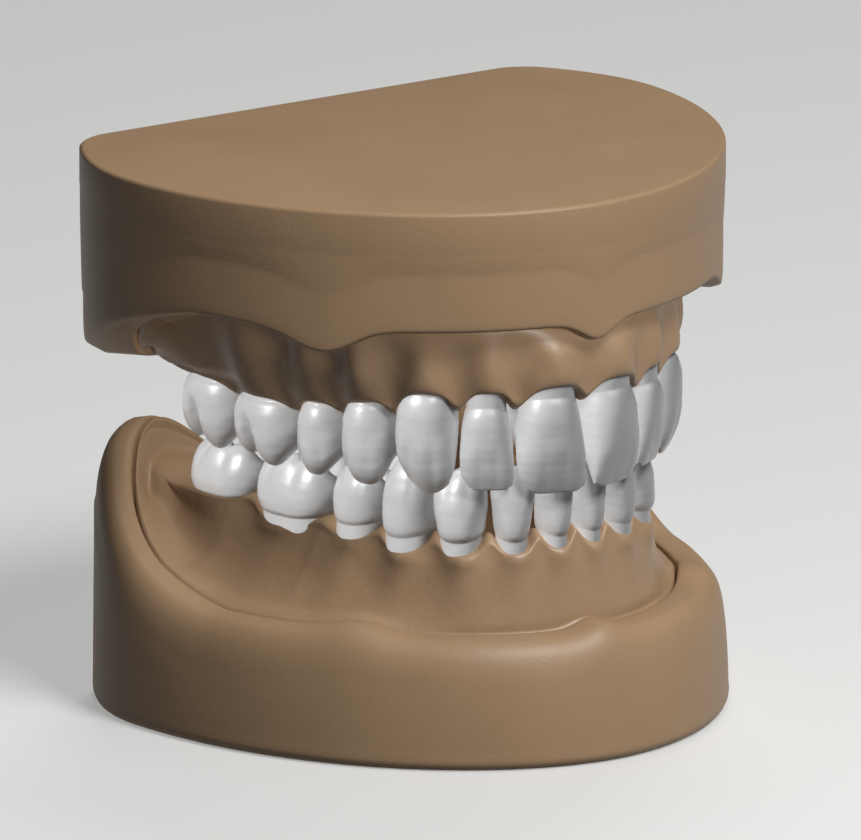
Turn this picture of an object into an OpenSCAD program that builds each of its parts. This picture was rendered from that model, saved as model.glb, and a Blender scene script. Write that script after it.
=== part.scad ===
// Dental study model on a hinge: two jaw bases with gum inserts, 28 seated teeth and a rear hinge.
// Millimetres. +Z is up, the incisors face -Y and the underside of the lower base lies on z = 0.

/* [Overall] */
// Height of the closed model
model_h = 63.7; // [62:0.1:66]
// Half width of the upper base
upper_half_w = 37; // [36:0.25:39]
// Half width of the lower base
lower_half_w = 35.85; // [35:0.25:38]
// Reach of the upper base ahead of the origin
upper_front = 41.3; // [41:0.1:43]
// Reach of the lower base ahead of the origin
lower_front = 44.6; // [44:0.1:46]
// Reach of the upper base behind the origin
upper_back = 17.5; // [17:0.1:18]
// Reach of the lower base behind the origin
lower_back = 16.7; // [16:0.1:17.5]

/* [Rims] */
// Height of the upper rim at the front
upper_rim_z = 49.6; // [48:0.1:51]
// Height of the lower rim at the front
lower_rim_z = 14.6; // [13:0.1:16]
// How far the upper rim drops at its back corners
upper_heel = 10.75; // [8:0.25:12]
// How far the lower rim climbs at its back corners
lower_heel = 17; // [12:0.25:18]
// Width of the upper rim around its gum insert
upper_rim_w = 4.4; // [4:0.1:5]
// Width of the lower rim around its gum insert
lower_rim_w = 6; // [5:0.1:6.4]
// Wall left behind each gum insert
back_wall = 6; // [5.5:0.25:7]

/* [Arches] */
// Y of the contact between the upper central incisors
upper_arch_y = -37.6; // [-38:0.1:-37]
// Y of the contact between the lower central incisors
lower_arch_y = -35; // [-35.5:0.1:-34.5]
// Gap left between neighbouring teeth
tooth_gap = 0.14; // [0.1:0.01:0.3]
// Clearance around a root in its socket
socket_gap = 0.06; // [0.03:0.01:0.15]

/* [Hinge] */
// Y of the hinge pin
pin_y = 24; // [23.5:0.25:25]
// Z of the hinge pin
pin_z = 37.5; // [37:0.25:39]
// Radius of the hinge pin
pin_r = 1.5; // [1.25:0.05:1.75]
// Running clearance between the pin and its bush
pin_gap = 0.05; // [0.02:0.01:0.08]
// Half width of the hinge plates
plate_half_w = 8; // [7.8:0.1:9]
// Thickness of the hinge plates and ears
plate_t = 1.6; // [1.2:0.1:2]

/* [Hidden] */
SIDES = ["right", "left"];
KINDS = ["central_incisor", "lateral_incisor", "canine", "first_premolar", "second_premolar",
         "first_molar", "second_molar"];
TOOTH_NODES = [for (jaw = ["upper", "lower"]) for (side = SIDES) for (i = [0:6]) tooth_name(jaw, side, i)];

resin = "#99805f";
gum = "#a1835f";
enamel = "#c4c4c2";
steel = "#b8bcc0";
nylon = "#e6e2d8";

/* Each jaw is drawn with z running towards the bite, so the upper one is mirrored into place.
   Teeth run from the midline back: width, depth, crown height, neck z,
   direction of the arch there, lean of the crown towards the face, shape. */
WIDTH = 0;
DEPTH = 1;
CROWN = 2;
NECK = 3;
TURN = 4;
LEAN = 5;
SHAPE = 6;
UPPER = [[8.0, 7.0, 12.0, -42.5, 72, 0.02, "incisor"],
         [6.2, 6.2, 10.9, -42.0, 58, 0.02, "incisor"],
         [7.0, 7.8, 11.3, -41.9, 37, 0, "canine"],
         [6.5, 8.4, 9.5, -40.2, 16, 0, "premolar"],
         [6.8, 8.6, 8.5, -38.9, 6, 0, "premolar"],
         [10.3, 10.6, 7.7, -38.0, 3, 0, "molar"],
         [9.8, 10.4, 8.0, -38.2, 0.5, 0, "molar"]];
LOWER = [[4.4, 5.6, 9.4, 23.6, 86, 0, "incisor"],
         [5.3, 5.8, 9.4, 23.4, 66, 0, "incisor"],
         [6.2, 7.0, 9.4, 23.2, 40, -0.05, "canine"],
         [6.5, 7.2, 9.2, 23.0, 19, -0.1, "premolar"],
         [7.1, 7.6, 8.2, 23.4, 12, -0.12, "premolar"],
         [11.2, 9.4, 7.8, 23.0, 10.5, -0.12, "molar"],
         [10.6, 9.2, 6.9, 23.5, 8.5, -0.1, "molar"]];

/* Crown rings: share of the crown height, half width, facial and lingual half depth.
   The cusps on the tongue side of the upper teeth fall short of the others by palatal_drop. */
INCISOR = [[0, 0.64, 0.84, 0.84], [0.14, 0.80, 0.98, 0.96], [0.4, 0.93, 0.97, 0.70],
           [0.7, 1.00, 0.80, 0.22], [0.93, 0.97, 0.58, -0.12], [1, 0.86, 0.46, -0.20]];
CANINE = [[0, 0.64, 0.84, 0.84], [0.14, 0.80, 0.98, 0.96], [0.4, 0.95, 1.00, 0.78],
          [0.66, 1.00, 0.86, 0.36], [0.88, 0.62, 0.62, 0.05], [1, 0.14, 0.46, -0.20]];
PREMOLAR = [[0, 0.66, 0.84, 0.84], [0.2, 0.84, 0.98, 0.95], [0.5, 0.98, 0.97, 1.00],
            [0.75, 0.99, 0.84, 0.92], [1, 0.74, 0.56, 0.60], [0.84, 0.34, 0.24, 0.26]];
MOLAR = [[0, 0.78, 0.86, 0.86], [0.2, 0.90, 0.98, 0.96], [0.5, 0.99, 0.97, 1.00],
         [0.75, 0.98, 0.86, 0.92], [1, 0.78, 0.62, 0.66], [0.84, 0.38, 0.28, 0.30]];
fossa = 0.78;
cusp_dip = 0.1;
palatal_drop = 0.26;
squareness = 0.85;
ring_n = 12;

/* Roots: shares of the half width and half depth near the end and halfway, and how each jaw's lean. */
ROOT_END = [0.42, 0.5];
ROOT_MIDDLE = [0.56, 0.7];
root_end_rise = 0.5;
root_middle_at = 0.45;
upper_front_lean = 0.34;
upper_side_lean = 0.14;
lower_lean = 0.06;
peg_len = 3;
peg_r = 1.3;
peg_overlap = 0.4;

front_power = 1.91;
side_taper = 6.9;
corner_r = 2.7;
front_n = 15;
side_n = 5;
corner_n = 3;
back_n = 3;
edge_r = 0.8;

/* Rim: notches for the lip and cheek folds, climb towards the back corners, level stretch at the back. */
upper_notch = 2;
lower_notch = 1;
notch_end = -15;
lip_notch_w = 3;
cheek_notch_x = 26;
cheek_notch_w = 3.5;
climb_start = -12;
climb_len = 29;
upper_climb = 1.35;
lower_climb = 1.75;
lower_back_rise = 5;
level_x = 12;
level_fade = 10;
level_depth = 4;
level_ease = 3;

/* Rim profile from outside to the seam: share of the rim width, depth below the rim. */
RIM_PROFILE = [[0.06, 7], [0.14, 4], [0.27, 1.6], [0.48, 0.3], [0.72, 0], [1, 0.3]];
wall_start = 0.3;

/* Gum: seam below the rim, face of the ridge as shares of the way in and up, margin and crest. */
seam_drop = 0.3;
RIDGE_FACE = [[0.35, 0.15], [0.75, 0.55]];
margin_out = 0.25;
margin_drop = 0.7;
shoulder = 0.55;
shoulder_rise = 0.6;
crest_rise = 1.2;
inner_slope = 2.2;
inner_flat = 6;
pad_x = 13;
pad_fade = 9;

lower_floor = 9;
upper_ceiling = 7;
lower_vault = 12.5;
upper_vault = -53;

spine_front = -15;
spine_back = -2;
spine_mid = (spine_front + spine_back) / 2;

screw_x = 2.2;
screw_dz = 3;
screw_r = 1.25;
screw_len = 4.5;
head_r = 1.9;
head_h = 1.4;
socket_r = 0.8;
socket_depth = 0.8;
bore_gap = 0.02;
plate_h = 11;
plate_bore_gap = 0.1;
upper_plate_z = 57;
lower_plate_z = 10.5;
knuckle_r = 3.2;
barrel_r = 3;
bush_r = 2.4;
inner_ear_x = 5.8;
ear_gap = 0.4;
outer_ear_x = inner_ear_x + ear_gap;
// Where the edges of an ear meet its knuckle, in degrees round the pin
UPPER_EAR = [25, 210];
LOWER_EAR = [150, -25];

pin_end = outer_ear_x + plate_t;
pin_head_r = 2.4;
pin_head_t = 0.8;
pin_tail = 0.7;
groove_r = 1.1;
clip_r = 2.6;
clip_t = 0.6;
clip_slot = 1.4;
round_n = 64;
screw_n = 48;
bore_n = 24;

function is_upper(jaw) = jaw == "upper";
function teeth(jaw) = is_upper(jaw) ? UPPER : LOWER;
function arch_y(jaw) = is_upper(jaw) ? upper_arch_y : lower_arch_y;
function half_w(jaw) = is_upper(jaw) ? upper_half_w : lower_half_w;
function front(jaw) = is_upper(jaw) ? upper_front : lower_front;
function back(jaw) = is_upper(jaw) ? upper_back : lower_back;
function plate_z(jaw) = is_upper(jaw) ? upper_plate_z : lower_plate_z;
function rim_w(jaw) = is_upper(jaw) ? upper_rim_w : lower_rim_w;
function flat_z(jaw) = is_upper(jaw) ? -model_h : 0;
function recess_z(jaw) = is_upper(jaw) ? upper_ceiling - model_h : lower_floor;
function vault_z(jaw) = is_upper(jaw) ? upper_vault : lower_vault;
function tooth_name(jaw, side, i) = str(jaw, "_", side, "_", KINDS[i]);

function power(v, p) = pow(max(v, 0), p);
function mix(a, b, t) = a + (b - a) * t;
function ease(v) = let (t = min(max(v, 0), 1)) t * t * (3 - 2 * t);
function bump(v, centre, width) = exp(-pow((v - centre) / width, 2));
function at_z(points, z) = [for (p = points) [p.x, p.y, z]];

module in_jaw(jaw) {
    mirror([0, 0, is_upper(jaw) ? 1 : 0]) children();
}

// A closed solid from rings of equal length, with a point that closes each end
module ring_solid(rings, first, last) {
    n = len(rings[0]);
    m = len(rings);
    polyhedron(concat([for (ring = rings) each ring], [first, last]), concat(
        [for (i = [0:n - 1]) [m * n, i, (i + 1) % n]],
        [for (k = [0:m - 2]) for (i = [0:n - 1]) let (a = k * n + i, b = k * n + (i + 1) % n)
            each [[a, a + n, b], [b, a + n, b + n]]],
        [for (i = [0:n - 1]) [(m - 1) * n + i, m * n + 1, (m - 1) * n + (i + 1) % n]]
    ));
}

// The point halfway between opposite points of a tooth's ring
function middle(ring) = mix(ring[0], ring[ring_n / 2], 0.5);

// The convex solid around a few rings
module ring_hull(rings) {
    last = rings[len(rings) - 1];
    hull() ring_solid(rings, middle(rings[0]), middle(last));
}

/* ---- Base outline: a superelliptic front, slowly narrowing sides and a straight back ---- */

// The outline drawn in by d all round and by back_d at the back
function outline(jaw, d, back_d) = let (
    w = half_w(jaw) - d,
    f = front(jaw) - d,
    b = back(jaw) - back_d,
    r = max(corner_r - d, 0.6),
    half = concat(
        [for (i = [0:front_n - 1]) let (a = 90 * i / front_n)
            [w * power(sin(a), 2 / front_power), -f * power(cos(a), 2 / front_power)]],
        [for (i = [0:side_n - 1]) let (y = (b - r) * i / side_n) [w - side_taper * pow(y / b, 2), y]],
        [for (i = [0:corner_n]) let (a = 90 * i / corner_n, y = b - r + r * sin(a))
            [w - side_taper * pow(y / b, 2) - r * (1 - cos(a)), y]],
        [for (i = [1:back_n]) [(w - side_taper - r) * (1 - i / back_n), b]])
) concat(half, [for (i = [len(half) - 2:-1:1]) [-half[i].x, half[i].y]]);

// The recess for the gum insert
function seam(jaw) = outline(jaw, rim_w(jaw), back_wall);

/* ---- Rim heights ---- */
function climb(y, p) = pow(max(y - climb_start, 0) / climb_len, p);
function notches(p) = p.y > notch_end ? 0
    : bump(p.x, 0, lip_notch_w) + bump(abs(p.x), cheek_notch_x, cheek_notch_w);
function level(jaw, p) = ease((p.y - back(jaw) + level_depth) / level_ease)
    * (1 - ease((abs(p.x) - level_x) / level_fade));
function upper_rim(p) = mix(-upper_rim_z + upper_notch * notches(p) + upper_heel * climb(p.y, upper_climb),
                            -upper_rim_z, level("upper", p));
function lower_rim(p) = mix(lower_rim_z + lower_notch * notches(p) + lower_heel * climb(p.y, lower_climb),
                            lower_rim_z + lower_back_rise, level("lower", p));
function rim_z(jaw, p) = is_upper(jaw) ? upper_rim(p) : lower_rim(p);

/* ---- Dental arch ---- */
function along(t) = t[WIDTH] * [sin(t[TURN]), cos(t[TURN])];
function contact(jaw, i) = i == 0 ? [0, arch_y(jaw)] : contact(jaw, i - 1) + along(teeth(jaw)[i - 1]);
function seat(jaw, i) = contact(jaw, i) + along(teeth(jaw)[i]) / 2;
function root_len(jaw, i) = teeth(jaw)[i][NECK] - recess_z(jaw);
function root_lean(jaw, i) = !is_upper(jaw) ? lower_lean : i < 3 ? upper_front_lean : upper_side_lean;
function root_y(jaw, i) = -root_lean(jaw, i) * root_len(jaw, i);

// Place of a point along the arch, measured round the spine of the recess
function spine(p) = [0, min(max(p.y, spine_front), spine_back)];
function station(p) = p.y < spine_front ? atan2(abs(p.x), spine_front - p.y)
    : p.y < spine_back ? 90 + p.y - spine_front
    : 90 + spine_back - spine_front + 0.35 * atan2(p.y - spine_back, abs(p.x));
function seat_radius(jaw, i) = norm(seat(jaw, i) - spine(seat(jaw, i)));
function arch_table(jaw) = [for (i = [0:6]) [station(seat(jaw, i)), seat_radius(jaw, i)]];
function tooth_table(jaw, what) = [for (i = [0:6]) [station(seat(jaw, i)), teeth(jaw)[i][what]]];

/* ---- Teeth: x along the arch, y to the face, z to the tip, z = 0 at the neck ---- */
function loop_at(half_x, facial, lingual, y, z, dip = 0, drop = 0) = [for (i = [0:ring_n - 1])
    let (a = 360 * i / ring_n, c = cos(a), s = sin(a))
    [half_x * sign(c) * power(abs(c), squareness),
     y + mix(-lingual, facial, 0.5 + 0.5 * sign(s) * power(abs(s), squareness)),
     z - dip * (1 - abs(s) * (1 + 0.6 * abs(c))) - drop * max(-s, 0)]];

function shape_rings(shape) = shape == "incisor" ? INCISOR : shape == "canine" ? CANINE
    : shape == "premolar" ? PREMOLAR : MOLAR;
function has_cusps(t) = t[SHAPE] == "premolar" || t[SHAPE] == "molar";

function crown_rings(t, grow) = [for (r = shape_rings(t[SHAPE])) let (
    w = (t[WIDTH] - tooth_gap) / 2,
    d = t[DEPTH] / 2,
    z = r[0] * t[CROWN],
    cusped = has_cusps(t) && r[0] == 1,
    dip = cusped ? cusp_dip * t[CROWN] : 0,
    drop = cusped && t[NECK] < 0 ? palatal_drop * t[CROWN] : 0
) loop_at(r[1] * w + grow, r[2] * d + grow, r[3] * d + grow, t[LEAN] * z, z, dip, drop)];

function root_rings(jaw, i, grow) = let (
    w = teeth(jaw)[i][WIDTH] / 2,
    d = teeth(jaw)[i][DEPTH] / 2,
    root = root_len(jaw, i)
) [for (r = [[peg_r, peg_r, -root],
              [ROOT_END.x * w, ROOT_END.y * d, root_end_rise - root],
              [ROOT_MIDDLE.x * w, ROOT_MIDDLE.y * d, -root_middle_at * root]])
    loop_at(r[0] + grow, r[1] + grow, r[1] + grow, root_lean(jaw, i) * r[2], r[2])];

// A peg's outline between two heights above the floor of the recess
function peg_rings(jaw, i, low, high, grow) = [for (z = [low, high])
    loop_at(peg_r + grow, peg_r + grow, peg_r + grow, root_y(jaw, i), z - root_len(jaw, i))];

module tooth_body(jaw, i) {
    t = teeth(jaw)[i];
    rings = concat([peg_rings(jaw, i, -peg_len, 0, 0)[0]], root_rings(jaw, i, 0), crown_rings(t, 0));
    tip = rings[len(rings) - 1];
    tip_z = t[CROWN] * (has_cusps(t) ? fossa : 1);
    mid_y = (tip[ring_n / 4].y + tip[3 * ring_n / 4].y) / 2;
    ring_solid(rings, [0, root_y(jaw, i), rings[0][0].z], [0, mid_y, tip_z]);
}

// Room for one peg, from the bottom of its hole in the base to just inside the gum insert
module peg_socket(jaw, i) {
    ring_hull(peg_rings(jaw, i, -peg_len - socket_gap, peg_overlap, socket_gap));
}

// Room for one tooth in the gum: its peg, its root and the start of its crown
module tooth_socket(jaw, i) {
    roots = root_rings(jaw, i, socket_gap);
    crown = crown_rings(teeth(jaw)[i], socket_gap);
    peg_socket(jaw, i);
    ring_hull([for (i = [0:2]) roots[i]]);
    ring_hull([roots[2], crown[0]]);
    ring_hull([for (i = [0:2]) crown[i]]);
}

module seated(jaw, side, i) {
    mirror([side == "right" ? 1 : 0, 0, 0])
        translate(concat(seat(jaw, i), [teeth(jaw)[i][NECK]]))
            rotate([0, 0, 270 - teeth(jaw)[i][TURN]])
                children();
}

module tooth(jaw, side, i) {
    color(enamel) in_jaw(jaw) seated(jaw, side, i) tooth_body(jaw, i);
}

/* ---- Bases ---- */

// Rings of a base from its flat face, over the rim and down to the floor of the recess
function base_rings(jaw) = let (
    edge = outline(jaw, 0, 0),
    w = rim_w(jaw)
) concat(
    [for (s = [[edge_r, 0], [0.3 * edge_r, 0.3 * edge_r], [0, edge_r]])
        at_z(outline(jaw, s[0], s[0]), flat_z(jaw) + s[1])],
    [for (s = RIM_PROFILE) let (
        t = max(s[0] - wall_start, 0) / (1 - wall_start),
        ring = outline(jaw, s[0] * w, mix(s[0] * w, back_wall, t))
    ) [for (k = [0:len(ring) - 1]) [ring[k].x, ring[k].y, rim_z(jaw, edge[k]) - s[1]]]],
    [at_z(seam(jaw), recess_z(jaw))]
);

module jaw_base(jaw) {
    ring_solid(base_rings(jaw), [0, 0, flat_z(jaw)], [0, 0, recess_z(jaw)]);
}

module peg_sockets(jaw) {
    for (side = SIDES) for (i = [0:6])
        seated(jaw, side, i) peg_socket(jaw, i);
}

module at_screws(jaw) {
    for (x = [-screw_x, screw_x]) for (dz = [-screw_dz, screw_dz])
        translate([x, back(jaw), plate_z(jaw) + dz]) rotate([-90, 0, 0]) children();
}

module screw_bores(jaw) {
    at_screws(jaw) translate([0, 0, -screw_len - plate_bore_gap])
        cylinder(r = screw_r + bore_gap, h = 2 * screw_len, $fn = bore_n);
}

module lower_base() {
    color(resin) difference() {
        jaw_base("lower");
        peg_sockets("lower");
        screw_bores("lower");
    }
}

module upper_base() {
    color(resin) difference() {
        in_jaw("upper") difference() {
            jaw_base("upper");
            peg_sockets("upper");
        }
        screw_bores("upper");
    }
}

/* ---- Gum inserts ---- */

// Rings of a gum insert from its flat underside, up the face of the ridge and down inside it
function gum_rings(jaw) = let (
    rim = seam(jaw),
    edge = outline(jaw, 0, 0),
    radii = arch_table(jaw),
    necks = tooth_table(jaw, NECK),
    depths = tooth_table(jaw, DEPTH),
    vault = vault_z(jaw),
    rows = [for (k = [0:len(rim) - 1]) let (
        p = rim[k],
        c = spine(p),
        reach = norm(p - c),
        s = station(p),
        half = lookup(s, depths) / 2,
        r = p.y < spine_back ? lookup(s, radii) : min(lookup(s, radii), reach - half - 2),
        rim_here = rim_z(jaw, edge[k]) - seam_drop,
        keep = p.y < spine_back ? 1 : ease((abs(p.x) - pad_x) / pad_fade),
        neck = mix(vault + 1, lookup(s, necks), keep)
    ) [for (q = [[reach, rim_here],
                 for (f = RIDGE_FACE) [mix(reach, r + half, f[0]), mix(rim_here, neck, f[1])],
                 [r + half + margin_out, neck - margin_drop],
                 [r + half * shoulder, neck + shoulder_rise],
                 [r, neck + crest_rise],
                 [r - half * shoulder, neck + shoulder_rise],
                 [max(r - half - margin_out, 1.5), neck - margin_drop],
                 [max(r - half - inner_slope, 1), mix(neck, vault, 0.6)],
                 [max(r - half - inner_flat, 0.5), vault]])
        concat(c + (p - c) / reach * q[0], [q[1]])]]
) concat([at_z(rim, recess_z(jaw))], [for (j = [0:len(rows[0]) - 1]) [for (row = rows) row[j]]]);

module gum_insert(jaw) {
    color(gum) in_jaw(jaw) difference() {
        ring_solid(gum_rings(jaw), [0, 0, recess_z(jaw)], [0, spine_mid, vault_z(jaw)]);
        for (side = SIDES) for (i = [0:6])
            seated(jaw, side, i) tooth_socket(jaw, i);
    }
}

module lower_gingiva() {
    gum_insert("lower");
}

module upper_gingiva() {
    gum_insert("upper");
}

/* ---- Hinge ---- */
module across(x, r, length) {
    translate([x, pin_y, pin_z]) rotate([0, 90, 0]) cylinder(r = r, h = length, $fn = round_n);
}

module plate(jaw) {
    difference() {
        translate([-plate_half_w, back(jaw), plate_z(jaw) - plate_h / 2])
            cube([2 * plate_half_w, plate_t, plate_h]);
        at_screws(jaw) translate([0, 0, -plate_t])
            cylinder(r = screw_r + plate_bore_gap, h = 3 * plate_t, $fn = screw_n);
    }
}

// A flat ear from a plate to the knuckle, between x and x + plate_t
module ear(jaw, x) {
    edge = back(jaw) + plate_t / 2;
    turns = is_upper(jaw) ? UPPER_EAR : LOWER_EAR;
    translate([x, 0, 0]) rotate([90, 0, 90]) linear_extrude(plate_t) {
        polygon([[edge, plate_z(jaw) - plate_h / 2], [edge, plate_z(jaw) + plate_h / 2],
                 for (a = turns) [pin_y + knuckle_r * cos(a), pin_z + knuckle_r * sin(a)]]);
        translate([pin_y, pin_z]) circle(r = knuckle_r, $fn = round_n);
    }
}

module lower_bracket() {
    color(steel) difference() {
        union() {
            plate("lower");
            ear("lower", outer_ear_x);
            ear("lower", -outer_ear_x - plate_t);
        }
        across(-plate_half_w - 1, pin_r, 2 * plate_half_w + 2);
    }
}

module upper_bracket() {
    color(steel) difference() {
        union() {
            plate("upper");
            ear("upper", inner_ear_x - plate_t);
            ear("upper", -inner_ear_x);
            across(-inner_ear_x + plate_t / 2, barrel_r, 2 * inner_ear_x - plate_t);
        }
        across(-inner_ear_x - 1, bush_r, 2 * inner_ear_x + 2);
    }
}

module hinge_bush() {
    color(nylon) difference() {
        across(-inner_ear_x, bush_r, 2 * inner_ear_x);
        across(-inner_ear_x - 1, pin_r + pin_gap, 2 * inner_ear_x + 2);
    }
}

module hinge_pin() {
    color(steel) difference() {
        union() {
            across(-pin_end - clip_t - pin_tail, pin_r, 2 * pin_end + clip_t + pin_tail);
            across(pin_end, pin_head_r, pin_head_t);
        }
        difference() {
            across(-pin_end - clip_t, 2 * pin_r, clip_t);
            across(-pin_end - clip_t - 1, groove_r, clip_t + 2);
        }
    }
}

module hinge_clip() {
    color(steel) difference() {
        across(-pin_end - clip_t, clip_r, clip_t);
        across(-pin_end - clip_t - 1, groove_r, clip_t + 2);
        translate([-pin_end - clip_t - 1, pin_y - clip_slot / 2, pin_z - 2 * clip_r])
            cube([clip_t + 2, clip_slot, 2 * clip_r]);
    }
}

module screws(jaw) {
    color(steel) at_screws(jaw) difference() {
        union() {
            translate([0, 0, -screw_len]) cylinder(r = screw_r, h = screw_len + plate_t, $fn = screw_n);
            translate([0, 0, plate_t]) cylinder(r = head_r, h = head_h, $fn = screw_n);
        }
        translate([0, 0, plate_t + head_h - socket_depth]) cylinder(r = socket_r, h = 1, $fn = 6);
    }
}

module lower_bracket_screws() {
    screws("lower");
}

module upper_bracket_screws() {
    screws("upper");
}

lower_base();
lower_gingiva();
upper_base();
upper_gingiva();
for (jaw = ["upper", "lower"]) for (side = SIDES) for (i = [0:6])
    tooth(jaw, side, i);
lower_bracket();
upper_bracket();
lower_bracket_screws();
upper_bracket_screws();
hinge_pin();
hinge_bush();
hinge_clip();
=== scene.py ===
"""Dental study model on a hinge: detailed jaws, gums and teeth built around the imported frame.

Lengths in this script are millimetres until a mesh is written, and each jaw is drawn with z running
towards the bite, so the upper jaw is turned over as its points are written.
"""
import math
from types import SimpleNamespace

import bmesh
import bpy
import numpy as np
from mathutils import Matrix, Vector
from mathutils import noise as mnoise


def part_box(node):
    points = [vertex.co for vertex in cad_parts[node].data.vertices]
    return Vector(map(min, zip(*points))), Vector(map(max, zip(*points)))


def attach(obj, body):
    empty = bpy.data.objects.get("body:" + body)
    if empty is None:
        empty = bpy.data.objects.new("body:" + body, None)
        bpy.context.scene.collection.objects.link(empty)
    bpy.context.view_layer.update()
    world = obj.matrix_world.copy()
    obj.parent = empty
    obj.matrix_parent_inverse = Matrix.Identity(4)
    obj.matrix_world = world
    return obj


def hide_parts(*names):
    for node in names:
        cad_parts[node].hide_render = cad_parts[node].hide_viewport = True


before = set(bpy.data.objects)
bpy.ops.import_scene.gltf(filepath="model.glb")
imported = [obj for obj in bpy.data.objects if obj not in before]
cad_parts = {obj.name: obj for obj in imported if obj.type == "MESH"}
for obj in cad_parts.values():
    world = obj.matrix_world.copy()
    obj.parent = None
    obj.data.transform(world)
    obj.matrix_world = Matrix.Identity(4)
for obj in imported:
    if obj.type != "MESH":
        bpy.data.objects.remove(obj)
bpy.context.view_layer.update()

MM = 0.001
TINY = 1e-9
SIDES = {"right": -1, "left": 1}
KINDS = ["central_incisor", "lateral_incisor", "canine", "first_premolar", "second_premolar",
         "first_molar", "second_molar"]


# ---------------------------------------------------------------- curves and meshes

def smooth_curve(x, xs, ys):
    """Monotone cubic through the knots (xs, ys), read at x."""
    xs = np.asarray(xs, float)
    ys = np.asarray(ys, float)
    h = np.diff(xs)
    d = np.diff(ys) / h
    same = d[:-1] * d[1:] > 0
    w1 = 2 * h[1:] + h[:-1]
    w2 = h[1:] + 2 * h[:-1]
    m = np.zeros_like(ys)
    m[0], m[-1] = d[0], d[-1]
    inner = w1 / np.where(same, d[:-1], 1) + w2 / np.where(same, d[1:], 1)
    m[1:-1] = np.where(same, (w1 + w2) / inner, 0)
    x = np.clip(x, xs[0], xs[-1])
    k = np.clip(np.searchsorted(xs, x, side="right") - 1, 0, len(h) - 1)
    t = (x - xs[k]) / h[k]
    return ((2 * t**3 - 3 * t**2 + 1) * ys[k] + (t**3 - 2 * t**2 + t) * h[k] * m[k]
            + (3 * t**2 - 2 * t**3) * ys[k + 1] + (t**3 - t**2) * h[k] * m[k + 1])


def ease(v):
    t = np.clip(v, 0, 1)
    return t * t * (3 - 2 * t)


def mix(a, b, t):
    return a + (b - a) * t


def ramp(v, start, length):
    """0 up to start, 1 from start + length on, with a smooth rise between."""
    return ease((v - start) / length)


def bell(v, centre, width):
    return np.exp(-((v - centre) / width) ** 2)


def power(v, p):
    return np.sign(v) * np.abs(v) ** p


def waves(points, scale, seed):
    """Smooth noise, about -1 to 1, at points in millimetres, with features of about scale millimetres."""
    shift = Vector((seed * 17.3, seed * 5.1, seed * 9.7))
    flat = points.reshape(-1, 3) / scale
    return np.array([mnoise.noise(Vector(p) + shift) for p in flat]).reshape(points.shape[:-1])


def ring_mesh(name, rings, flip):
    """A closed mesh from rings of points in millimetres, with a fan that closes each end."""
    rings = np.array(rings)
    count, n = rings.shape[:2]
    points = rings.reshape(-1, 3)
    ends = [rings[0].mean(axis=0), rings[-1].mean(axis=0)]
    points = np.vstack([points, ends])
    if flip:
        points = points * [1, 1, -1]
    faces = []
    for k in range(count - 1):
        for i in range(n):
            a = k * n + i
            b = k * n + (i + 1) % n
            faces.append((a, b, b + n, a + n))
    for i in range(n):
        faces.append((count * n, (i + 1) % n, i))
        faces.append((count * n + 1, (count - 1) * n + i, (count - 1) * n + (i + 1) % n))
    mesh = bpy.data.meshes.new(name)
    mesh.from_pydata((points * MM).tolist(), [], faces)
    bm = bmesh.new()
    bm.from_mesh(mesh)
    bmesh.ops.recalc_face_normals(bm, faces=bm.faces)
    bm.to_mesh(mesh)
    bm.free()
    mesh.polygons.foreach_set("use_smooth", [True] * len(mesh.polygons))
    piece = bpy.data.objects.new(name, mesh)
    bpy.context.scene.collection.objects.link(piece)
    return piece


# ---------------------------------------------------------------- the two jaws

# Base outline: how round the front is, how much the sides draw in, and its corners
FRONT_POWER = 1.91
SIDE_TAPER = 6.9
CORNER_R = 2.7
CORNER_SHRINK = 0.2
INNER_CORNER_R = 1.5
FRONT_POINTS = 150
SIDE_POINTS = 50
CORNER_POINTS = 15

# Where the rim is slimmer, climbs to the heels, is level at the back and has notches. A zone is a
# (start, length) for ramp.
HEEL_ZONE_Y = (-8, 16)
HEEL_ZONE_X = (12, 8)
CLIMB_Y = -12
CLIMB_RUN = 29
LEVEL_ZONE_Y = (-4, 3)
LEVEL_ZONE_X = (10, 16)
NOTCH_W = 3.0
NOTCH_END_Y = -15

# Base wall: the lips at the back and at the rim, the band line, the waves in the resin, and the knots
# up the wall that the jaws' insets and drops belong to
BACK_LIP = 6.0
GUM_GAP = 0.3
BACK_LEAN_START = 0.3
LIP_DROP = 0.1
GUM_RIM_DROP = 0.2
BAND_STEP = 0.05
BAND_BEVEL = 0.35
WALL_KNOTS = (0, 0.3, 0.55, 0.75, 1)
HEEL_DROPS = (7, 5.2, 3.8, 2.2, 0.0)
HEEL_DROP_ZONE = (-12, 22)
WALL_WAVE = 0.06
WALL_WAVE_SIZE = 9.0
WALL_WAVE_ROWS = (14, 8)
BACK_FACE = 0.5

# The gum is drawn on spokes out of a line down the middle of the jaw
SPINE_FRONT = -15.0
SPINE_BACK = -2.0
REAR_PER_DEGREE = 0.35
ROOT_SHARE = 0.86
GUM_OVER_ROOT = -0.12
PAD_LENGTH = 7


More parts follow.
